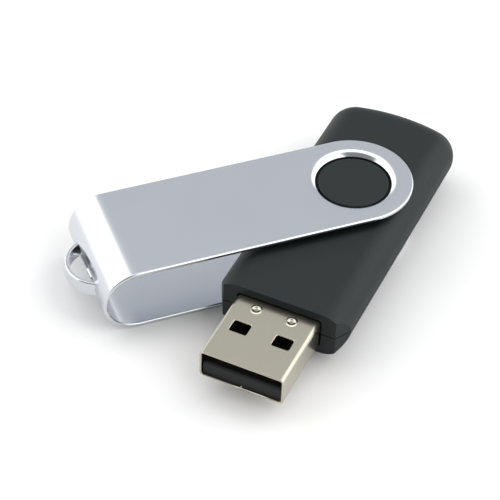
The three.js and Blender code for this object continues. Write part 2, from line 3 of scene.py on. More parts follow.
import json
import math
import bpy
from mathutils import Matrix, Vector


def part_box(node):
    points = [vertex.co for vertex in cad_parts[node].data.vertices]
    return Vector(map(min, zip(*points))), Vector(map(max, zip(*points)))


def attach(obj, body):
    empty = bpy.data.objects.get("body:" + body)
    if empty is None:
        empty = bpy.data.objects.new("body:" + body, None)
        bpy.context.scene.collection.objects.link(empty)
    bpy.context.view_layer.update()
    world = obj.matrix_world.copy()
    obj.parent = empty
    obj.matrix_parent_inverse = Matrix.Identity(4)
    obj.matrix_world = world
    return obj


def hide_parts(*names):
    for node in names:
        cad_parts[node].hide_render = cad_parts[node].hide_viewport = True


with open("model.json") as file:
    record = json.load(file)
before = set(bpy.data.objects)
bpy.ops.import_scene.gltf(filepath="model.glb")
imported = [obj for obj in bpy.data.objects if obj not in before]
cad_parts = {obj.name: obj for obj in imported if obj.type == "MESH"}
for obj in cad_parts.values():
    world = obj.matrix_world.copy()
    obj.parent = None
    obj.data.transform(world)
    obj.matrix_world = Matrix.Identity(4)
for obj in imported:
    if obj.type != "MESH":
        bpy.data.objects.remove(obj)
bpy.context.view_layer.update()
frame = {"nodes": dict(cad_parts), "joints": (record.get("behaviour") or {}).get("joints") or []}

from types import SimpleNamespace

import bmesh
import bpy
import numpy as np
from bpy.props import FloatProperty, FloatVectorProperty, PointerProperty
from mathutils import Matrix, Vector
from mathutils.geometry import delaunay_2d_cdt

bl_info = {
    "name": "Swivel Flash Drive",
    "version": (1, 0, 0),
    "blender": (4, 5, 0),
    "location": "3D View > Sidebar > Flash Drive",
    "description": "Builds a USB flash drive with a swivelling metal clip",
    "category": "Add Mesh",
}

MM = 0.001
PIVOT = Vector(frame["joints"][0]["pos_m"])
QUARTER = math.pi / 2
SLOPE_STEP = 1e-3  # mm either side of a point of a bent sheet, to find its slope
SAME_POINT = 1e-5  # mm, closer than which two points of an outline are one
JOIN_GAP = 1e-4  # mm, closer than which two corners of a filled outline are one
ON_PLANE = 1e-6  # mm, closer than which a corner lies on a plane
OVERRUN = 1.0  # mm that a cutting solid passes a face


# ---- Values read from the frame ----
def node_box(name):
    """A CAD node's lowest and highest corner in millimetres, measured from the swivel axis."""
    low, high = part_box(name)
    return (Vector(low) - PIVOT) / MM, (Vector(high) - PIVOT) / MM


PLUG_LOW, PLUG_HIGH = node_box("plug_shell")
SHELL_LOW, SHELL_HIGH = node_box("upper_shell")
CLIP_HIGH = node_box("swivel_clip")[1]


def clip_direction():
    """Unit vector from the swivel axis to the clip's bend, at rest."""
    vertices = frame["nodes"]["swivel_clip"].data.vertices
    middle = sum((v.co for v in vertices), Vector()) / len(vertices) - PIVOT
    return Vector((middle.x, middle.y, 0)).normalized()


# ---- Properties ----
def linear(hex_colour):
    """An sRGB hex colour as linear red, green and blue."""
    levels = [int(hex_colour[i:i + 2], 16) / 255 for i in (1, 3, 5)]
    return [c / 12.92 if c <= 0.04045 else ((c + 0.055) / 1.055) ** 2.4 for c in levels]


def length(name, millimetres, description):
    return FloatProperty(
        name=name, description=description, default=millimetres * MM, unit="LENGTH", precision=5
    )


def angle(name, degrees, description):
    return FloatProperty(
        name=name, description=description, default=math.radians(degrees), unit="ROTATION"
    )


def colour(name, hex_colour, description):
    return FloatVectorProperty(
        name=name, description=description, default=linear(hex_colour), subtype="COLOR"
    )


class ClipSizes(bpy.types.PropertyGroup):
    """Sizes of the folded metal clip."""

    width: length("Width", 16.7, "Width of the clip's two arms")
    sheet: length("Sheet", 0.6, "Thickness of the clip's sheet metal")
    bend_centre: length("Bend Centre", 34.01, "Swivel axis to the axis of the bend")
    edge: length("Edge Radius", 0.22, "Rounding of the sheet's polished edges")
    hole: length("Hole Radius", 5.2, "Radius of the hole inside the rolled lip")
    lip: length("Lip Radius", 1.7, "Outer radius of the lip turned down round each hole")
    slot: length("Slot Half Width", 3.9, "Half the width of the slot that the key loop came out of")
    loop: length("Loop Radius", 4.7, "Outer radius of the key loop")
    loop_reach: length("Loop Reach", 2.8, "How far the key loop stands beyond the bend")
    loop_height: length("Loop Height", 2.4, "Height of the key loop's band")
    loop_drop: length("Loop Drop", 0.4, "Key loop's middle below mid thickness")


class HousingSizes(bpy.types.PropertyGroup):
    """Sizes of the moulded housing."""

    wall: length("Wall", 1.2, "Thickness of the moulded walls")
    thickness: length("Thickness", 7.2, "Thickness of the housing without its bosses")
    rear_radius: length("Rear Radius", 26.0, "Plan radius of the bowed rear end")
    corner: length("Corner Radius", 4.0, "Plan radius of the rear corners")
    rounding: length("Rounding", 3.5, "Rounding of the long edges and the rear end")
    chamfer_width: length("Chamfer Width", 1.3, "Front corner facet, across")
    chamfer_length: length("Chamfer Length", 2.3, "Front corner facet, along")
    edge: length("Edge Radius", 0.12, "Rounding of the front edges and the seam")
    boss: length("Boss Radius", 5.0, "Radius of the round boss that the clip turns on")
    boss_edge: length("Boss Edge", 0.22, "Rounding of the boss's rim")
    boss_recess: length("Boss Recess", 0.5, "Boss below the clip's outer face")
    plug_gap: length("Plug Gap", 0.15, "Gap between the plug and its opening")
    seam_depth: length("Seam Depth", 0.3, "Depth of the groove where the two shells meet")
    seam_height: length("Seam Height", 0.07, "Half the height of the groove")


class PlugSizes(bpy.types.PropertyGroup):
    """Sizes of the type A plug."""

    sheet: length("Sheet", 0.3, "Thickness of the plug's sheet metal")
    corner: length("Corner Radius", 0.6, "Outer radius of the plug's folded edges")
    edge: length("Edge Radius", 0.1, "Rounding of the sheet's cut edges")
    window_width: length("Window Width", 2.5, "Width of the latch windows")
    window_length: length("Window Length", 2.0, "Length of the latch windows")
    window_corner: length("Window Corner", 0.28, "Corner radius of the latch windows")
    window_spacing: length("Window Spacing", 6.1, "Distance between the windows' centres")
    window_setback: length("Window Setback", 6.15, "Plug's front edge to the windows' centres")
    dimple: length("Dimple Radius", 0.88, "Radius of the pressed dimples")
    dimple_depth: length("Dimple Depth", 0.08, "Depth of the pressed dimples")
    dimple_spacing: length("Dimple Spacing", 5.1, "Distance between the dimples' centres")
    dimple_setback: length("Dimple Setback", 10.05, "Plug's front edge to the dimples")


class FinishColours(bpy.types.PropertyGroup):
    """Base colours of the finishes."""

    clip: colour("Clip", "#D3D6DB", "Satin aluminium")
    shell: colour("Housing", "#0E1718", "Soft-touch ABS")
    plug: colour("Plug", "#C0BBAB", "Nickel-plated steel")
    insulator: colour("Insulator", "#0B0E11", "Glass-filled nylon")
    contact: colour("Contacts", "#D9B45C", "Gold-plated bronze")
    board: colour("Board", "#1F5A36", "Solder mask on glass epoxy")
    chip: colour("Chips", "#1B1B1D", "Moulded epoxy")
    can: colour("Crystal", "#C9C9C4", "Drawn steel")
    capacitor: colour("Capacitors", "#9A7A52", "Fired ceramic")
    resistor: colour("Resistors", "#141416", "Fired ceramic")
    lens: colour("Status Light", "#E9E4D4", "Clear epoxy")
    floor: colour("Floor", "#F0F0F0", "Matt white paper")


class StudioSettings(bpy.types.PropertyGroup):
    """Place and lens of the camera."""

    azimuth: angle("Azimuth", 23.5, "Camera's turn from straight in front of the plug")
    elevation: angle("Elevation", 44.3, "Camera's height above the horizon")
    roll: angle("Roll", 2.2, "Camera's turn about its own axis")
    distance: length("Distance", 289.6, "Camera to the point that it looks at")
    aim_right: length("Aim Right", -14.04, "Swivel axis to the aimed point, across the view")
    aim_up: length("Aim Up", -6.82, "Swivel axis to the aimed point, up the view")
    lens: FloatProperty(name="Lens", description="Focal length", default=147.9, unit="CAMERA")


def in_mm(group):
    """A property group's lengths in millimetres."""
    return SimpleNamespace(**{name: getattr(group, name) / MM for name in group.__annotations__})


# ---- Geometry helpers ----
def arc(x, y, radius, start, end, steps):
    """Points along an arc, both ends included."""
    angles = [start + (end - start) * i / steps for i in range(steps + 1)]
    return [(x + radius * math.cos(a), y + radius * math.sin(a)) for a in angles]


def without_repeats(points):
    """A closed outline without points that repeat the one after them."""
    following = points[1:] + points[:1]
    return [p for p, q in zip(points, following) if math.dist(p, q) > SAME_POINT]


def outward(points):
    """The unit normal to the right of a closed outline at each point, lengthened at corners."""
    normals = []
    for before, here, after in zip(points[-1:] + points[:-1], points, points[1:] + points[:1]):
        a = (Vector(here) - Vector(before)).normalized()
        b = (Vector(after) - Vector(here)).normalized()
        normal = Vector((a.y + b.y, -a.x - b.x)).normalized()
        normals.append(normal / max(0.5, normal.dot(Vector((a.y, -a.x)))))
    return normals


def rim_profile(thickness, edge, steps):
    """Steps round a sheet's edge: (out, height, normal out, normal height)."""
    turns = [QUARTER * i / steps for i in range(steps + 1)]
    top = [
        (edge * math.sin(t), edge * (math.cos(t) - 1), math.sin(t), math.cos(t)) for t in turns
    ]
    bottom = [
        (edge * math.cos(t), edge * (1 - math.sin(t)) - thickness, math.cos(t), -math.sin(t))
        for t in turns
    ]
    return top + bottom


def fill_outline(loops, guides):
    """Triangles between flat loops, cut along the guide lines: points, faces, each loop's points."""
    flat, edges, starts = [], [], []
    for loop in loops:
        starts.append(len(flat))
        count = len(loop)
        edges += [(len(flat) + i, len(flat) + (i + 1) % count) for i in range(count)]
        flat += [Vector(p) for p in loop]
    for line in guides:
        edges += [(len(flat) + i, len(flat) + i + 1) for i in range(len(line) - 1)]
        flat += [Vector(p) for p in line]
    points, _, faces, sources, _, _ = delaunay_2d_cdt(flat, edges, [], 0, JOIN_GAP)
    place = {source: i for i, group in enumerate(sources) for source in group}
    centres = np.array([np.mean([points[i] for i in face], axis=0) for face in faces])
    crossings = np.zeros(len(faces), dtype=int)
    for loop in loops:
        for (x0, y0), (x1, y1) in zip(loop, loop[1:] + loop[:1]):
            if y0 == y1:
                continue
            spans = (centres[:, 1] > min(y0, y1)) & (centres[:, 1] <= max(y0, y1))
            crossing = x0 + (centres[:, 1] - y0) * (x1 - x0) / (y1 - y0)
            crossings += spans & (centres[:, 0] < crossing)
    inside = [face for face, count in zip(faces, crossings) if count % 2]
    rings = [[place[start + i] for i in range(len(loop))] for start, loop in zip(starts, loops)]
    return points, inside, rings


class Shape:
    """A mesh being made: points, faces, their normals and how polished each point is."""

    def __init__(self):
        self.points, self.faces, self.normals, self.polish = [], [], [], []

    def point(self, place, normal, polish=0.0):
        self.points.append(place)
        self.normals.append(normal)
        self.polish.append(polish)
        return len(self.points) - 1


def add_sheet(shape, outlines, guides, form, thickness, edge, polished=None, steps=3):
    """Adds a sheet with rounded edges. Its flat outlines are bent into place by `form`."""
    normals = [outward(outline) for outline in outlines]
    insets = [
        [tuple(Vector(p) - n * edge) for p, n in zip(outline, group)]
        for outline, group in zip(outlines, normals)
    ]
    flat, faces, rings = fill_outline(insets, guides)

    def slope(u, v, h, du, dv, dh):
        ahead, behind = form(u + du, v + dv, h + dh), form(u - du, v - dv, h - dh)
        return (Vector(ahead) - Vector(behind)) / (2 * SLOPE_STEP)

    def lay(u, v, h, du, dv, dh, polish):
        here = (u, v, h)
        directions = ((SLOPE_STEP, 0, 0), (0, SLOPE_STEP, 0), (0, 0, SLOPE_STEP))
        slopes = [slope(*here, *direction) for direction in directions]
        normal = Matrix(slopes).inverted() @ Vector((du, dv, dh))
        return shape.point(Vector(form(*here)), normal.normalized(), polish)

    def face_polish(u, v):
        return polished(u, v) if polished else 0.0

    front = [lay(u, v, 0, 0, 0, 1, face_polish(u, v)) for u, v in flat]
    back = [lay(u, v, -thickness, 0, 0, -1, face_polish(u, v)) for u, v in flat]
    shape.faces += [tuple(front[i] for i in face) for face in faces]
    shape.faces += [tuple(back[i] for i in reversed(face)) for face in faces]
    profile = rim_profile(thickness, edge, steps)[1:-1]
    for outline, group, ring in zip(insets, normals, rings):
        columns = []
        for (u, v), normal, start in zip(outline, group, ring):
            unit = normal.normalized()
            column = [front[start]]
            for out, height, across, up in profile:
                du, dv = unit * across
                where = (u + normal.x * out, v + normal.y * out, height)
                column.append(lay(*where, du, dv, up, 1.0))
            columns.append(column + [back[start]])
        for a, b in zip(columns, columns[1:] + columns[:1]):
            shape.faces += [(a[i], a[i + 1], b[i + 1], b[i]) for i in range(len(a) - 1)]


def mesh_object(name, shape, turn=None):
    """Makes an object of a shape given in millimetres from the swivel axis."""
    place = Matrix.Translation(PIVOT) @ (turn or Matrix()) @ Matrix.Scale(MM, 4)
    mesh = bpy.data.meshes.new(name)
    mesh.from_pydata([place @ Vector(p) for p in shape.points], [], shape.faces)
    work = bmesh.new()
    work.from_mesh(mesh)
    bmesh.ops.recalc_face_normals(work, faces=work.faces)
    work.to_mesh(mesh)
    work.free()
    mesh.shade_smooth()
    turn3 = (turn or Matrix()).to_3x3()
    mesh.normals_split_custom_set_from_vertices([turn3 @ Vector(n) for n in shape.normals])
    polish = mesh.attributes.new("polish", "FLOAT", "POINT")
    polish.data.foreach_set("value", shape.polish)
    made = bpy.data.objects.new(name, mesh)
    bpy.context.collection.objects.link(made)
    return made


def object_from(name, work):
    """Makes an object of a bmesh given in millimetres from the swivel axis, and frees the bmesh."""
    work.transform(Matrix.Translation(PIVOT) @ Matrix.Scale(MM, 4))
    mesh = bpy.data.meshes.new(name)
    work.to_mesh(mesh)
    work.free()
    made = bpy.data.objects.new(name, mesh)
    bpy.context.collection.objects.link(made)
    return made


def cut(made, tool, operation="DIFFERENCE"):
    """Applies a boolean with another object, and removes that object."""
    modifier = made.modifiers.new("cut", "BOOLEAN")
    modifier.operation = operation
    modifier.solver = "EXACT"
    modifier.object = tool
    apply_modifiers(made)
    bpy.data.objects.remove(tool)


def apply_modifiers(made):
    """Turns an object's modifiers into mesh."""
    graph = bpy.context.evaluated_depsgraph_get()
    mesh = bpy.data.meshes.new_from_object(made.evaluated_get(graph))
    made.modifiers.clear()
    made.data = mesh


def smooth(made, degrees=35.0):
    """Smooth shading with sharp edges above an angle, and flat faces kept flat."""
    made.data.shade_smooth()
    made.data.set_sharp_from_angle(angle=math.radians(degrees))
    modifier = made.modifiers.new("weighted", "WEIGHTED_NORMAL")
    modifier.keep_sharp = True
    modifier.weight = 80
    apply_modifiers(made)


def finish_piece(made, material, body, slot, *nodes):
    """Gives a piece its material, puts it under the CAD body and hides the nodes that it stands for.
    The slot argument is not used.
    """
    made.data.materials.clear()
    made.data.materials.append(material)
    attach(made, body)
    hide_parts(*nodes)


# ---- Material helpers ----
def new_material(name):
    """A material with an empty node tree, and that tree."""
    material = bpy.data.materials.new(name)
    material.use_nodes = True
    tree = material.node_tree
    tree.nodes.clear()
    return material, tree


def add(tree, kind, inputs=None, **settings):
    """Adds a node with its settings. An input is a value or another node's output."""
    made = tree.nodes.new(kind)
    for name, value in settings.items():
        setattr(made, name, value)
    for name, value in (inputs or {}).items():
        socket = made.inputs[name]
        if isinstance(value, bpy.types.NodeSocket):
            tree.links.new(value, socket)
        else:
            socket.default_value = value
    return made


def darker_and_lighter(base, share):
    """A colour made darker, and lighter, by a share of itself."""
    return [(*(min(1.0, c * (1 + way * share)) for c in base), 1.0) for way in (-1, 1)]


def satin_aluminium(colours):
    """Aluminium sheet, fine-brushed along its length, with edges polished in a tumbler.

    The brushing spreads reflections into an even grey sheen; the polished edges catch the lights
    as thin white lines.
    """
    material, tree = new_material("satin_aluminium_brushed")
    dark, light = darker_and_lighter(colours.clip, 0.035)
    place = add(tree, "ShaderNodeTexCoord")
    toward = clip_direction()
    line_up = add(
        tree,
        "ShaderNodeMapping",
        {
            "Vector": place.outputs["Object"],
            "Rotation": (0, 0, -math.atan2(toward.y, toward.x)),
            # Scratches about 0.05 mm wide and 4 mm long. Real ones are five times as fine.
            "Scale": (1 / (4 * MM), 1 / (0.05 * MM), 1 / (0.05 * MM)),
        },
    )
    scratches = add(
        tree, "ShaderNodeTexNoise", {"Vector": line_up.outputs["Vector"], "Scale": 1.0, "Detail": 3.0}
    )
    # Handling marks about 11 mm across.
    clouds = add(
        tree,
        "ShaderNodeTexNoise",
        {"Vector": place.outputs["Object"], "Scale": 1 / (11.1 * MM), "Detail": 2.0},
    )
    polish = add(tree, "ShaderNodeAttribute", attribute_name="polish")
    tone = add(
        tree,
        "ShaderNodeMix",
        {
            "Factor": clouds.outputs["Fac"],
            "A": dark,
            "B": light,
        },
        data_type="RGBA",
    )
    brushed = add(
        tree,
        "ShaderNodeMapRange",
        {"Value": scratches.outputs["Fac"], "To Min": 0.18, "To Max": 0.24},
    )
    roughness = add(
        tree,
        "ShaderNodeMix",
        {"Factor": polish.outputs["Fac"], "A": brushed.outputs["Result"], "B": 0.14},
    )
    relief = add(
        tree,
        "ShaderNodeBump",
        {"Height": scratches.outputs["Fac"], "Strength": 0.03, "Distance": 0.004 * MM},
    )
    shader = add(
        tree,
        "ShaderNodeBsdfPrincipled",
        {
            "Base Color": tone.outputs["Result"],
            "Roughness": roughness.outputs["Result"],
            "Metallic": 1.0,
            "Normal": relief.outputs["Normal"],
        },
    )
    add(tree, "ShaderNodeOutputMaterial", {"Surface": shader.outputs["BSDF"]})
    return material


def soft_touch_abs(colours):
    """ABS moulding with a rubbery soft-touch lacquer.

    The lacquer has a fine sprayed grain, so highlights are broad and dim and the edges show only
    as faint lighter lines.
    """
    material, tree = new_material("abs_soft_touch_lacquer")
    dark, light = darker_and_lighter(colours.shell, 0.12)
    place = add(tree, "ShaderNodeTexCoord")
    # Sprayed grain about 0.15 mm across.
    grain = add(
        tree,
        "ShaderNodeTexNoise",
        {"Vector": place.outputs["Object"], "Scale": 1 / (0.15 * MM), "Detail": 4.0},
    )
    # Uneven lacquer, in patches about 8 mm across.
    clouds = add(
        tree,
        "ShaderNodeTexNoise",
        {"Vector": place.outputs["Object"], "Scale": 1 / (8.33 * MM), "Detail": 3.0},
    )
    tone = add(
        tree,
        "ShaderNodeMix",
        {
            "Factor": clouds.outputs["Fac"],
            "A": dark,
            "B": light,
        },
        data_type="RGBA",
    )
    roughness = add(
        tree, "ShaderNodeMapRange", {"Value": grain.outputs["Fac"], "To Min": 0.48, "To Max": 0.6}
    )
    relief = add(
        tree,
        "ShaderNodeBump",
        {"Height": grain.outputs["Fac"], "Strength": 0.18, "Distance": 0.02 * MM},
    )
    shader = add(
        tree,
        "ShaderNodeBsdfPrincipled",
        {
            "Base Color": tone.outputs["Result"],
            "Roughness": roughness.outputs["Result"],
            "IOR": 1.4,
            "Normal": relief.outputs["Normal"],
        },
    )
    add(tree, "ShaderNodeOutputMaterial", {"Surface": shader.outputs["BSDF"]})
    return material


def nickel_plated_steel(colours):
    """Rolled steel sheet with dull nickel plating, rubbed by use.

    The plating is warm and slightly mottled, and its cut edges are brighter than its faces.
    """
    material, tree = new_material("steel_nickel_plated")
    dark, light = darker_and_lighter(colours.plug, 0.04)
    place = add(tree, "ShaderNodeTexCoord")
    # Mottling about 0.35 mm across.
    mottle = add(
        tree,
        "ShaderNodeTexNoise",
        {"Vector": place.outputs["Object"], "Scale": 1 / (0.35 * MM), "Detail": 4.0},
    )
    # Rub marks run the way the plug goes in, about 0.1 mm wide and 3 mm long.
    rub = add(
        tree,
        "ShaderNodeMapping",
        {
            "Vector": place.outputs["Object"],
            "Scale": (1 / (0.1 * MM), 1 / (3 * MM), 1 / (0.1 * MM)),
        },
    )
    marks = add(
        tree, "ShaderNodeTexNoise", {"Vector": rub.outputs["Vector"], "Scale": 1.0, "Detail": 2.0}
    )
    polish = add(tree, "ShaderNodeAttribute", attribute_name="polish")
    tone = add(
        tree,
        "ShaderNodeMix",
        {
            "Factor": mottle.outputs["Fac"],
            "A": dark,
            "B": light,
        },
        data_type="RGBA",
    )
    rubbed = add(
        tree, "ShaderNodeMapRange", {"Value": mottle.outputs["Fac"], "To Min": 0.22, "To Max": 0.26}
    )
    roughness = add(
        tree,
        "ShaderNodeMix",
        {"Factor": polish.outputs["Fac"], "A": rubbed.outputs["Result"], "B": 0.15},
    )
    relief = add(
        tree,
        "ShaderNodeBump",
        {"Height": marks.outputs["Fac"], "Strength": 0.015, "Distance": 0.004 * MM},
    )
    shader = add(
        tree,
        "ShaderNodeBsdfPrincipled",
        {
            "Base Color": tone.outputs["Result"],
            "Roughness": roughness.outputs["Result"],
            "Metallic": 1.0,
            "Normal": relief.outputs["Normal"],
        },
    )
    add(tree, "ShaderNodeOutputMaterial", {"Surface": shader.outputs["BSDF"]})
    return material


def moulded(name, base, low, high, grain_mm, metallic=False, ior=1.5):
    """A small moulded, fired or plated part, with a fine grain in its tone and roughness."""
    material, tree = new_material(name)
    dark, light = darker_and_lighter(base, 0.15)
    place = add(tree, "ShaderNodeTexCoord")
    grain = add(
        tree,
        "ShaderNodeTexNoise",
        {"Vector": place.outputs["Object"], "Scale": 1 / (grain_mm * MM), "Detail": 3.0},
    )
    tone = add(
        tree,
        "ShaderNodeMix",
        {
            "Factor": grain.outputs["Fac"],
            "A": dark,
            "B": light,
        },
        data_type="RGBA",
    )
    roughness = add(
        tree, "ShaderNodeMapRange", {"Value": grain.outputs["Fac"], "To Min": low, "To Max": high}
    )
    inputs = {"Base Color": tone.outputs["Result"], "Roughness": roughness.outputs["Result"]}
    if metallic:
        inputs["Metallic"] = 1.0
    else:
        inputs["IOR"] = ior
    shader = add(tree, "ShaderNodeBsdfPrincipled", inputs)
    add(tree, "ShaderNodeOutputMaterial", {"Surface": shader.outputs["BSDF"]})
    return material


def matt_paper(colours):
    """Matt white paper sweep: an even pale floor with no shine."""
    material, tree = new_material("paper_matt_white")
    dark, light = darker_and_lighter(colours.floor, 0.0025)
    place = add(tree, "ShaderNodeTexCoord")
    # Clumps of fibre about 2.5 mm across.
    fibre = add(
        tree,
        "ShaderNodeTexNoise",
        {"Vector": place.outputs["Object"], "Scale": 1 / (2.5 * MM), "Detail": 2.0},
    )
    tone = add(
        tree,
        "ShaderNodeMix",
        {
            "Factor": fibre.outputs["Fac"],
            "A": dark,
            "B": light,
        },
        data_type="RGBA",
    )
    shader = add(
        tree,
        "ShaderNodeBsdfPrincipled",
        {"Base Color": tone.outputs["Result"], "Roughness": 0.9, "IOR": 1.3},
    )
    add(tree, "ShaderNodeOutputMaterial", {"Surface": shader.outputs["BSDF"]})
    return material


# ---- Clip ----
LIP_TURN = math.radians(50)
LIP_RINGS = 9
LIP_MARGIN = 0.3  # mm of flat round each lip that keeps its own ring of faces
LIP_SHINE = 0.6  # polish of the lips, where the cut edges have 1
LIP_FADE = 0.5  # mm over which the lips' polish comes in
LOOP_SINK = 0.6  # share of the sheet that the key loop's ends sink into the bend
LOOP_ROWS = 32
ROUND_STEPS = 96
BEND_ROWS = 36


def clip_sheet(sizes):
    """The folded sheet: two arms, the bend, and a lip rolled round a hole in each arm."""
    outer = CLIP_HIGH.z
    half = sizes.width / 2
    bend = QUARTER * outer
    pivot = bend + sizes.bend_centre
    roll_start = sizes.hole + sizes.lip * math.sin(LIP_TURN)
    roll_middle = sizes.lip - sizes.sheet / 2
    hole = roll_start - roll_middle * LIP_TURN

    def form(u, v, h):
        """Bends the flat blank. u runs along it from the middle of the bend, v across it."""
        beyond = abs(u) - bend
        if beyond < 0:
            turn = u / outer
            return (
                sizes.bend_centre + (outer + h) * math.cos(turn), v, (outer + h) * math.sin(turn)
            )
        along = sizes.bend_centre - beyond
        height = outer + h
        radius = math.hypot(along, v)
        if radius < roll_start:
            turn = (roll_start - radius) / roll_middle
            rolled = roll_start - (sizes.lip + h) * math.sin(turn)
            along, v = along * rolled / radius, v * rolled / radius
            height = outer - sizes.lip + (sizes.lip + h) * math.cos(turn)
        return along, v, math.copysign(height, u)

    def polished(u, v):
        """The lips are polished like the edges."""
        radius = math.hypot(pivot - abs(u), v)
        return min(LIP_SHINE, max(0.0, (roll_start - radius) / LIP_FADE))

    step = 2 * bend / BEND_ROWS
    rows = [step * (i - BEND_ROWS / 2) for i in range(BEND_ROWS + 1)]
    low = outer * math.asin((-sizes.loop_drop - sizes.loop_height / 2) / outer)
    high = outer * math.asin((-sizes.loop_drop + sizes.loop_height / 2) / outer)
    rows = [u for u in rows if min(abs(u - low), abs(u - high)) > 2 * sizes.edge]
    between = [u for u in rows if low < u < high]
    arm = without_repeats(
        arc(pivot, 0, half, -QUARTER, QUARTER, ROUND_STEPS // 2)
        + [(u, half) for u in reversed(rows)]
        + arc(-pivot, 0, half, QUARTER, 3 * QUARTER, ROUND_STEPS // 2)
        + [(u, -half) for u in rows]
    )
    slot = without_repeats(
        [(low, -sizes.slot), (low, sizes.slot)]
        + [(u, sizes.slot) for u in between]
        + [(high, sizes.slot), (high, -sizes.slot)]
        + [(u, -sizes.slot) for u in reversed(between)]
    )
    circle = [i * 2 * math.pi / ROUND_STEPS for i in range(ROUND_STEPS)]
    centres = (-pivot, pivot)
    holes = [[(x + hole * math.cos(-a), hole * math.sin(-a)) for a in circle] for x in centres]
    guides = []
    inner, outside = sizes.slot + sizes.edge, half - sizes.edge
    for u in rows:
        if low < u < high:
            guides += [[(u, -outside), (u, -inner)], [(u, inner), (u, outside)]]
        else:
            guides.append([(u, -outside), (u, outside)])
    for x in centres:
        for i in range(LIP_RINGS):
            radius = roll_start - (roll_start - hole - sizes.edge) * i / LIP_RINGS
            guides.append(arc(x, 0, radius, 0, 2 * math.pi, ROUND_STEPS))
        guides.append(arc(x, 0, roll_start + LIP_MARGIN, 0, 2 * math.pi, ROUND_STEPS))
    return [arm, slot, *holes], guides, form, polished


def key_loop(sizes):
    """The band that was pushed out of the bend for a key ring."""
    centre = sizes.bend_centre + CLIP_HIGH.z + sizes.loop_reach - sizes.loop
    reach = sizes.bend_centre + CLIP_HIGH.z - sizes.sheet * LOOP_SINK - centre
    end = sizes.loop * math.acos(reach / sizes.loop)
    bottom = -sizes.loop_drop - sizes.loop_height / 2
    top = bottom + sizes.loop_height
    rows = [end * (2 * i / LOOP_ROWS - 1) for i in range(LOOP_ROWS + 1)]
    outline = [(u, bottom) for u in rows] + [(u, top) for u in reversed(rows)]
    guides = [[(u, bottom + sizes.edge), (u, top - sizes.edge)] for u in rows[1:-1]]

    def form(u, v, h):
        turn = u / sizes.loop
        radius = sizes.loop + h
        return centre + radius * math.cos(turn), radius * math.sin(turn), v

    return [without_repeats(outline)], guides, form, lambda u, v: 1.0


def build_clip(settings):
    sizes = in_mm(settings.drive_clip)
    shape = Shape()
    for outlines, guides, form, polished in (clip_sheet(sizes), key_loop(sizes)):
        add_sheet(shape, outlines, guides, form, sizes.sheet, sizes.edge, polished)
    toward = clip_direction()
    turn = Matrix.Rotation(math.atan2(toward.y, toward.x), 4, "Z")
    made = mesh_object("clip_sheet", shape, turn)
    finish_piece(
        made, satin_aluminium(settings.drive_colours), "clip", "clip_metal", "swivel_clip"
    )


# ---- Housing ----
OPENING_CORNER = 0.5  # mm, corner radius of the plug's opening


def housing_plan(sizes, inset, corner_steps=16, rear_steps=24):
    """Plan outline with a bowed rear end. It runs past the front face, where it is cut off."""
    half = (SHELL_HIGH.x - SHELL_LOW.x) / 2
    side = half - inset
    front = SHELL_LOW.y - sizes.rounding - OVERRUN
    bow = SHELL_HIGH.y - sizes.rear_radius
    corner_x = half - sizes.corner
    corner_y = bow + math.sqrt((sizes.rear_radius - sizes.corner) ** 2 - corner_x**2)
    meet = math.atan2(corner_y - bow, corner_x)
    corner = sizes.corner - inset
    return without_repeats(
        [(side, front)]
        + arc(corner_x, corner_y, corner, 0, meet, corner_steps)
        + arc(0, bow, sizes.rear_radius - inset, meet, math.pi - meet, rear_steps)
        + arc(-corner_x, corner_y, corner, math.pi - meet, math.pi, corner_steps)
        + [(-side, front)]
    )


def half_form(sizes, inset, steps=14):
    """Upper half of the rounded form, this far inside the outer skin, as a closed bmesh."""
    rounding = sizes.rounding - inset
    straight = sizes.thickness / 2 - sizes.rounding
    turns = [QUARTER * i / steps for i in range(steps + 1)]
    levels = [(inset, 0.0)] + [
        (inset + rounding * (1 - math.cos(t)), straight + rounding * math.sin(t)) for t in turns
    ]
    work = bmesh.new()
    rings = [
        [work.verts.new((x, y, z)) for x, y in housing_plan(sizes, into)] for into, z in levels
    ]
    for low, high in zip(rings, rings[1:]):
        for a, b, c, d in zip(low, low[1:] + low[:1], high[1:] + high[:1], high):
            work.faces.new((a, b, c, d))
    work.faces.new(rings[0][::-1])
    work.faces.new(rings[-1])
    return work


def slice_off(work, point, normal):
    """Cuts away what lies on the normal's side of a plane and closes the cut."""
    geometry = work.verts[:] + work.edges[:] + work.faces[:]
    result = bmesh.ops.bisect_plane(
        work, geom=geometry, plane_co=point, plane_no=normal, clear_outer=True, dist=ON_PLANE
    )
    edges = [e for e in result["geom_cut"] if isinstance(e, bmesh.types.BMEdge)]
    bmesh.ops.contextual_create(work, geom=edges)


def round_edges(work, width, degrees=25.0, segments=3):
    """Rounds the edges that are sharper than an angle."""
    edges = [e for e in work.edges if e.calc_face_angle(0) > math.radians(degrees)]
    bmesh.ops.bevel(
        work,
        geom=edges,
        offset=width,
        segments=segments,
        profile=0.5,
        affect="EDGES",
        clamp_overlap=True,
    )


def round_block(low, high, radius, segments=3):
    """A box with rounded edges, as a bmesh."""
    work = bmesh.new()
    size = Vector(high) - Vector(low)
    middle = (Vector(high) + Vector(low)) / 2
    place = Matrix.Translation(middle) @ Matrix.Diagonal((*size, 1))
    bmesh.ops.create_cube(work, size=1.0, matrix=place)
    if radius:
        round_edges(work, radius, segments=segments)
    return work


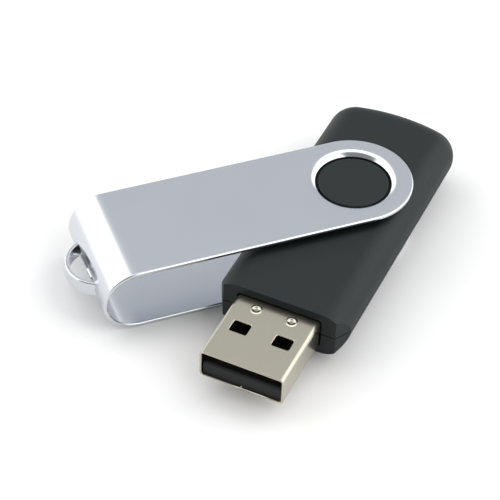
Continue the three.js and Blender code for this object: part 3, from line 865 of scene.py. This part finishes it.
def turned(profile, steps=ROUND_STEPS):
    """A closed profile of (radius, height) turned about the swivel axis, as a bmesh."""
    work = bmesh.new()
    ends = [work.verts.new((0, 0, profile[i][1])) for i in (0, -1)]
    circle = [i * 2 * math.pi / steps for i in range(steps)]
    rings = [
        [work.verts.new((r * math.cos(a), r * math.sin(a), z)) for a in circle]
        for r, z in profile
        if r > 0
    ]
    for low, high in zip(rings, rings[1:]):
        for a, b, c, d in zip(low, low[1:] + low[:1], high[1:] + high[:1], high):
            work.faces.new((a, b, c, d))
    for a, b in zip(rings[0], rings[0][1:] + rings[0][:1]):
        work.faces.new((ends[0], b, a))
    for a, b in zip(rings[-1], rings[-1][1:] + rings[-1][:1]):
        work.faces.new((ends[1], a, b))
    return work


def cut_form(sizes, inset, steps=14):
    """The upper half of the form with its front face and corner facets, this far inside."""
    front = SHELL_LOW.y
    work = half_form(sizes, inset, steps)
    slice_off(work, (0, front + inset, 0), (0, -1, 0))
    for side in (-1, 1):
        facet = Vector((side * sizes.chamfer_length, -sizes.chamfer_width, 0)).normalized()
        edge = Vector((side * SHELL_HIGH.x, front + sizes.chamfer_length, 0))
        slice_off(work, edge - facet * inset, facet)
    return work


def deepened(work):
    """Moves a form's flat underside down, so that it cuts right through."""
    for vertex in work.verts:
        if vertex.co.z < ON_PLANE:
            vertex.co.z = -2 * OVERRUN
    return work


def housing_shell(sizes, name):
    """The upper shell: a hollow rounded half with its boss and its half of the plug opening."""
    front = SHELL_LOW.y
    work = cut_form(sizes, 0.0)
    round_edges(work, sizes.edge)
    shell = object_from(name, work)
    side, reach = 2 * SHELL_HIGH.x, 2 * SHELL_HIGH.y
    groove = object_from(
        "groove", round_block((-side, -reach, -OVERRUN), (side, reach, sizes.seam_height), 0)
    )
    cut(groove, object_from("core", deepened(cut_form(sizes, sizes.seam_depth))))
    cut(shell, groove)
    cut(shell, object_from("hollow", deepened(cut_form(sizes, sizes.wall, steps=5))))
    top = CLIP_HIGH.z - sizes.boss_recess
    rim = arc(
        sizes.boss - sizes.boss_edge, top - sizes.boss_edge, sizes.boss_edge, 0, QUARTER, 5
    )
    base = sizes.thickness / 2 - sizes.wall / 2
    boss = turned([(0, base), (sizes.boss, base), *rim, (0, top)])
    cut(shell, object_from("boss", boss), "UNION")
    gap = sizes.plug_gap
    opening = round_block(
        (PLUG_LOW.x - gap, front - OVERRUN, -PLUG_HIGH.z - OVERRUN),
        (PLUG_HIGH.x + gap, front + sizes.wall + OVERRUN, PLUG_HIGH.z + gap),
        OPENING_CORNER,
    )
    cut(shell, object_from("opening", opening))
    return shell


def build_housing(settings):
    sizes = in_mm(settings.drive_housing)
    material = soft_touch_abs(settings.drive_colours)
    upper = housing_shell(sizes, "upper_housing")
    lower = upper.copy()
    lower.data = upper.data.copy()
    lower.name = "lower_housing"
    bpy.context.collection.objects.link(lower)
    flip = (
        Matrix.Translation(PIVOT) @ Matrix.Scale(-1, 4, Vector((0, 0, 1))) @ Matrix.Translation(-PIVOT)
    )
    lower.data.transform(flip)
    lower.data.flip_normals()
    for shell, node in ((upper, "upper_shell"), (lower, "lower_shell")):
        smooth(shell)
        finish_piece(shell, material, "drive", "shell_plastic", node)


# ---- Plug ----
TAB_LENGTH = 1.6  # mm of solder tabs behind the plug's tube
SEAM_GAP = 0.02  # mm, half the gap of the seam underneath
FOLD_STEPS = 8
DIMPLE_RINGS = 20
DIMPLE_STEPS = 40
BURNISHED = 0.98  # share of a dimple's radius that the punch has burnished
INSULATOR_BASE = 2.6  # mm, length of the insulator's full-height base
CONTACT_DEPTH = 0.2  # mm of each contact that lies in the tongue
TONGUE_NOSE = 0.4  # mm, rounding of the tongue's front edge
TONGUE_EDGE = 0.12  # mm, rounding of its other edges
# A dimple's radius and depth, as shares of the whole: a flat pit and a raised rim.
DIMPLE_KNOTS = ((0.0, 1.0), (0.28, 1.0), (0.72, -0.55), (1.0, 0.0))


def rounded_hole(x, y, width, depth, corner, steps=5):
    """A clockwise rounded rectangle."""
    dx, dy = width / 2 - corner, depth / 2 - corner
    points = []
    for start, (sx, sy) in ((1, (-1, 1)), (0, (1, 1)), (-1, (1, -1)), (-2, (-1, -1))):
        points += arc(
            x + sx * dx, y + sy * dy, corner, (start + 1) * QUARTER, start * QUARTER, steps
        )
    return without_repeats(points)


def plug_sheet(sizes):
    """The rolled sheet of the plug, which meets itself in a fine seam underneath."""
    width = PLUG_HIGH.x - PLUG_LOW.x
    height = PLUG_HIGH.z - PLUG_LOW.z
    front, rear = PLUG_LOW.y, PLUG_HIGH.y - TAB_LENGTH
    top = width / 2 - sizes.corner
    fold = sizes.corner * QUARTER
    side = height - 2 * sizes.corner
    ends = [top, top + fold, top + fold + side, top + 2 * fold + side]
    limit = ends[3] + top - SEAM_GAP
    dimples = [(x * sizes.dimple_spacing / 2, front + sizes.dimple_setback) for x in (-1, 1)]

    def pressed(u, v):
        """Depth of the dimples under the plug's top."""
        depth = 0.0
        for x, y in dimples:
            out = math.hypot(u - x, v - y) / sizes.dimple
            for (near, deep), (far, next_deep) in zip(DIMPLE_KNOTS, DIMPLE_KNOTS[1:]):
                if near <= out < far:
                    share = (out - near) / (far - near)
                    share = share * share * (3 - 2 * share)
                    depth += sizes.dimple_depth * (deep + (next_deep - deep) * share)
        return depth

    def form(u, v, h):
        """Folds the flat blank. u runs round the plug from the middle of its top, v along it."""
        way, hand = abs(u), (1 if u >= 0 else -1)
        radius = sizes.corner + h
        if way < ends[0]:
            x, z = way, height / 2 + h - pressed(u, v)
        elif way < ends[1]:
            turn = (way - ends[0]) / sizes.corner
            x = top + radius * math.sin(turn)
            z = height / 2 - sizes.corner + radius * math.cos(turn)
        elif way < ends[2]:
            x = width / 2 + h
            z = height / 2 - sizes.corner - (way - ends[1])
        elif way < ends[3]:
            turn = (way - ends[2]) / sizes.corner
            x = top + radius * math.cos(turn)
            z = sizes.corner - height / 2 - radius * math.sin(turn)
        else:
            x, z = top - (way - ends[3]), -height / 2 - h
        return hand * x, v, z

    folds = [
        start + fold * i / FOLD_STEPS for start in (ends[0], ends[2]) for i in range(FOLD_STEPS + 1)
    ]
    rows = sorted([-u for u in folds] + folds)
    outline = (
        [(-limit, front)]
        + [(u, front) for u in rows]
        + [(limit, front), (limit, rear)]
        + [(u, rear) for u in reversed(rows)]
        + [(-limit, rear)]
    )
    windows = []
    centre = front + sizes.window_setback
    for hand in (-1, 1):
        across = hand * sizes.window_spacing / 2
        size = (sizes.window_width, sizes.window_length, sizes.window_corner)
        windows.append(rounded_hole(across, centre, *size))
        below = hand * (ends[3] + top) - across
        windows.append(rounded_hole(below, centre, *size))
    guides = [[(u, front + sizes.edge), (u, rear - sizes.edge)] for u in rows]
    for x, y in dimples:
        for i in range(1, DIMPLE_RINGS + 1):
            radius = sizes.dimple * i / DIMPLE_RINGS
            guides.append(arc(x, y, radius, 0, 2 * math.pi, DIMPLE_STEPS))

    def polished(u, v):
        """The dimples are burnished by the punch."""
        inside = BURNISHED * sizes.dimple
        return float(any(math.hypot(u - x, v - y) < inside for x, y in dimples))

    return [outline, *windows], guides, form, polished


def build_plug(settings):
    sizes = in_mm(settings.drive_plug)
    colours = settings.drive_colours
    shape = Shape()
    outlines, guides, form, polished = plug_sheet(sizes)
    add_sheet(shape, outlines, guides, form, sizes.sheet, sizes.edge, polished)
    made = mesh_object("plug_sheet", shape)
    finish_piece(made, nickel_plated_steel(colours), "drive", "plug_metal", "plug_shell")
    build_insulator(colours)
    # Phosphor bronze with gold plating: small bright yellow glints.
    gold = moulded("bronze_gold_plated", colours.contact, 0.2, 0.3, 0.3, metallic=True)
    dress_nodes(
        gold, "contact_vbus", "contact_data_minus", "contact_data_plus", "contact_ground"
    )


def build_insulator(colours):
    """The black tongue under the contacts, with its full-height base."""
    low, high = node_box("plug_insulator")
    top = node_box("contact_vbus")[0].z + CONTACT_DEPTH
    nose = TONGUE_NOSE
    profile = [
        (low.y, low.z),
        (high.y, low.z),
        (high.y, high.z),
        (high.y - INSULATOR_BASE, high.z),
        (high.y - INSULATOR_BASE, top),
        *arc(low.y + nose, top - nose, nose, QUARTER, math.pi, 6),
    ]
    work = bmesh.new()
    left = [work.verts.new((low.x, y, z)) for y, z in profile]
    right = [work.verts.new((high.x, y, z)) for y, z in profile]
    for a, b, c, d in zip(left, left[1:] + left[:1], right[1:] + right[:1], right):
        work.faces.new((a, b, c, d))
    work.faces.new(left[::-1])
    work.faces.new(right)
    round_edges(work, TONGUE_EDGE)
    made = object_from("insulator_tongue", work)
    smooth(made)
    # Glass-filled nylon, moulded: black with a faint dull sheen.
    nylon = moulded("nylon_moulded_black", colours.insulator, 0.5, 0.6, 0.2, ior=1.4)
    finish_piece(made, nylon, "drive", "insulator_plastic", "plug_insulator")


def dress_nodes(material, *names):
    """Gives CAD nodes that keep their shape a material."""
    for name in names:
        for slot in frame["nodes"][name].material_slots:
            slot.material = material


# ---- Board ----
def build_board(settings):
    colours = settings.drive_colours
    # Glass-epoxy laminate with green solder mask: a glossy dark green.
    board = moulded("glass_epoxy_solder_mask", colours.board, 0.3, 0.4, 0.5)
    # Moulded epoxy chip packages: dull black.
    epoxy = moulded("epoxy_moulded_black", colours.chip, 0.5, 0.65, 0.1)
    # Drawn steel can of the crystal: plain grey metal.
    can = moulded("steel_drawn", colours.can, 0.25, 0.35, 0.3, metallic=True)
    # Fired ceramic: tan capacitors, dark resistors.
    tan = moulded("ceramic_fired_tan", colours.capacitor, 0.45, 0.6, 0.1)
    dark = moulded("ceramic_fired_dark", colours.resistor, 0.4, 0.55, 0.1)
    # Clear moulded epoxy lens of the status light: milky white.
    milky = moulded("epoxy_clear_milky", colours.lens, 0.2, 0.3, 0.2)
    dress_nodes(board, "circuit_board")
    dress_nodes(epoxy, "flash_memory_chip", "controller_chip", "voltage_regulator")
    dress_nodes(can, "crystal")
    dress_nodes(milky, "status_led")
    dress_nodes(tan, *[name for name in frame["nodes"] if name.startswith("capacitor_")])
    dress_nodes(dark, *[name for name in frame["nodes"] if name.startswith("resistor_")])


# ---- Stage ----
FLOOR_REACH = 2.0  # m, half the floor's side
FLOOR_GAP = 0.02  # mm between the floor and the clip
NEAR_CUT, FAR_CUT = 0.01, 10.0  # m, the camera's range


def build_world():
    """A white tent, brightest overhead, with a grey panel behind and a dark opening in front."""
    world = bpy.data.worlds.new("studio")
    bpy.context.scene.world = world
    world.use_nodes = True
    tree = world.node_tree
    tree.nodes.clear()
    place = add(tree, "ShaderNodeTexCoord")
    tones = {
        "dim white": (0.9, 0.9, 0.9, 1),
        "bright white": (2.2, 2.2, 2.2, 1),
        "grey": (0.66, 0.68, 0.71, 1),
        "dark": (0.3, 0.3, 0.3, 1),
    }
    # Each row leans toward a direction, and as it does so one tone gives way to another.
    rows = (
        ("tent", (0.0, 0.3, 0.954), -0.9, 0.9, "dim white", "bright white"),
        ("panel", (-0.4, 0.917, 0), 0.45, 0.6, "tent", "grey"),
        ("panel", (0.917, 0.4, 0), 0.42, 0.58, "panel", "tent"),
        ("panel", (-0.917, -0.4, 0), 0.3, 0.46, "panel", "tent"),
        ("opening", (0.4, -0.917, 0), -0.18, -0.02, "panel", "dark"),
        ("opening", (0.877, 0.492, 0), 0.25, 0.36, "opening", "panel"),
        ("opening", (-1.157, 0.15, 0), 0.42, 0.56, "opening", "panel"),
    )
    for name, toward, low, high, first, second in rows:
        lean = add(
            tree,
            "ShaderNodeVectorMath",
            {0: place.outputs["Generated"], 1: toward},
            operation="DOT_PRODUCT",
        )
        change = add(
            tree,
            "ShaderNodeMapRange",
            {"Value": lean.outputs["Value"], "From Min": low, "From Max": high},
            interpolation_type="SMOOTHSTEP",
        )
        mix = add(
            tree,
            "ShaderNodeMix",
            {"Factor": change.outputs["Result"], "A": tones[first], "B": tones[second]},
            data_type="RGBA",
        )
        tones[name] = mix.outputs["Result"]
    background = add(tree, "ShaderNodeBackground", {"Color": tones["opening"]})
    add(tree, "ShaderNodeOutputWorld", {"Surface": background.outputs["Background"]})


def build_camera(studio):
    """The camera, turned about the swivel axis and aimed beside it."""
    azimuth, elevation, roll = studio.azimuth, studio.elevation, studio.roll
    back = Vector(
        (
            math.sin(azimuth) * math.cos(elevation),
            -math.cos(azimuth) * math.cos(elevation),
            math.sin(elevation),
        )
    )
    right = Vector((math.cos(azimuth), math.sin(azimuth), 0))
    up = back.cross(right)
    aim = PIVOT + right * studio.aim_right + up * studio.aim_up
    axes = Matrix((right, up, back)).transposed().to_4x4()
    camera = bpy.data.objects.new("camera", bpy.data.cameras.new("camera"))
    camera.matrix_world = (
        Matrix.Translation(aim + back * studio.distance) @ axes @ Matrix.Rotation(roll, 4, "Z")
    )
    camera.data.lens = studio.lens
    camera.data.clip_start, camera.data.clip_end = NEAR_CUT, FAR_CUT
    bpy.context.collection.objects.link(camera)
    bpy.context.scene.camera = camera


def build_stage(settings):
    build_camera(settings.drive_studio)
    work = bmesh.new()
    bmesh.ops.create_grid(work, x_segments=4, y_segments=4, size=FLOOR_REACH)
    mesh = bpy.data.meshes.new("floor")
    work.to_mesh(mesh)
    work.free()
    floor = bpy.data.objects.new("floor", mesh)
    floor.location.z = -FLOOR_GAP * MM
    floor.data.materials.append(matt_paper(settings.drive_colours))
    bpy.context.collection.objects.link(floor)
    build_world()
    bpy.context.scene.view_settings.view_transform = "Standard"


# ---- Add-on ----
class DRIVE_OT_clip(bpy.types.Operator):
    """Build the folded metal clip with its rolled lips and key loop"""

    bl_idname = "drive.clip"
    bl_label = "Build Clip"

    def execute(self, context):
        build_clip(context.scene)
        return {"FINISHED"}


class DRIVE_OT_housing(bpy.types.Operator):
    """Build the two moulded housing shells with their bosses"""

    bl_idname = "drive.housing"
    bl_label = "Build Housing"

    def execute(self, context):
        build_housing(context.scene)
        return {"FINISHED"}


class DRIVE_OT_plug(bpy.types.Operator):
    """Build the type A plug with its insulator and contacts"""

    bl_idname = "drive.plug"
    bl_label = "Build Plug"

    def execute(self, context):
        build_plug(context.scene)
        return {"FINISHED"}


class DRIVE_OT_board(bpy.types.Operator):
    """Give the circuit board and its chips their finishes"""

    bl_idname = "drive.board"
    bl_label = "Finish Board"

    def execute(self, context):
        build_board(context.scene)
        return {"FINISHED"}


class DRIVE_OT_stage(bpy.types.Operator):
    """Build the floor, the studio light and the camera"""

    bl_idname = "drive.stage"
    bl_label = "Build Stage"

    def execute(self, context):
        build_stage(context.scene)
        return {"FINISHED"}


class DRIVE_PT_sidebar(bpy.types.Panel):
    """Lists the sizes, colours and build steps of the flash drive"""

    bl_idname = "DRIVE_PT_sidebar"
    bl_label = "Flash Drive"
    bl_space_type = "VIEW_3D"
    bl_region_type = "UI"
    bl_category = "Flash Drive"

    def draw(self, context):
        for name, (label, group) in GROUPS.items():
            box = self.layout.box()
            box.label(text=label)
            for prop in group.__annotations__:
                box.prop(getattr(context.scene, name), prop)
        for operator in OPERATORS:
            self.layout.operator(operator.bl_idname)


GROUPS = {
    "drive_clip": ("Clip", ClipSizes),
    "drive_housing": ("Housing", HousingSizes),
    "drive_plug": ("Plug", PlugSizes),
    "drive_colours": ("Colours", FinishColours),
    "drive_studio": ("Studio", StudioSettings),
}
OPERATORS = (DRIVE_OT_stage, DRIVE_OT_housing, DRIVE_OT_plug, DRIVE_OT_board, DRIVE_OT_clip)


def register():
    for name, (label, group) in GROUPS.items():
        bpy.utils.register_class(group)
        setattr(bpy.types.Scene, name, PointerProperty(type=group))
    for operator in OPERATORS:
        bpy.utils.register_class(operator)
    bpy.utils.register_class(DRIVE_PT_sidebar)


def unregister():
    bpy.utils.unregister_class(DRIVE_PT_sidebar)
    for operator in reversed(OPERATORS):
        bpy.utils.unregister_class(operator)
    for name, (label, group) in reversed(GROUPS.items()):
        delattr(bpy.types.Scene, name)
        bpy.utils.unregister_class(group)


def main():
    register()
    bpy.ops.drive.stage()
    bpy.ops.drive.housing()
    bpy.ops.drive.plug()
    bpy.ops.drive.board()
    bpy.ops.drive.clip()


if __name__ == "__main__":
    main()
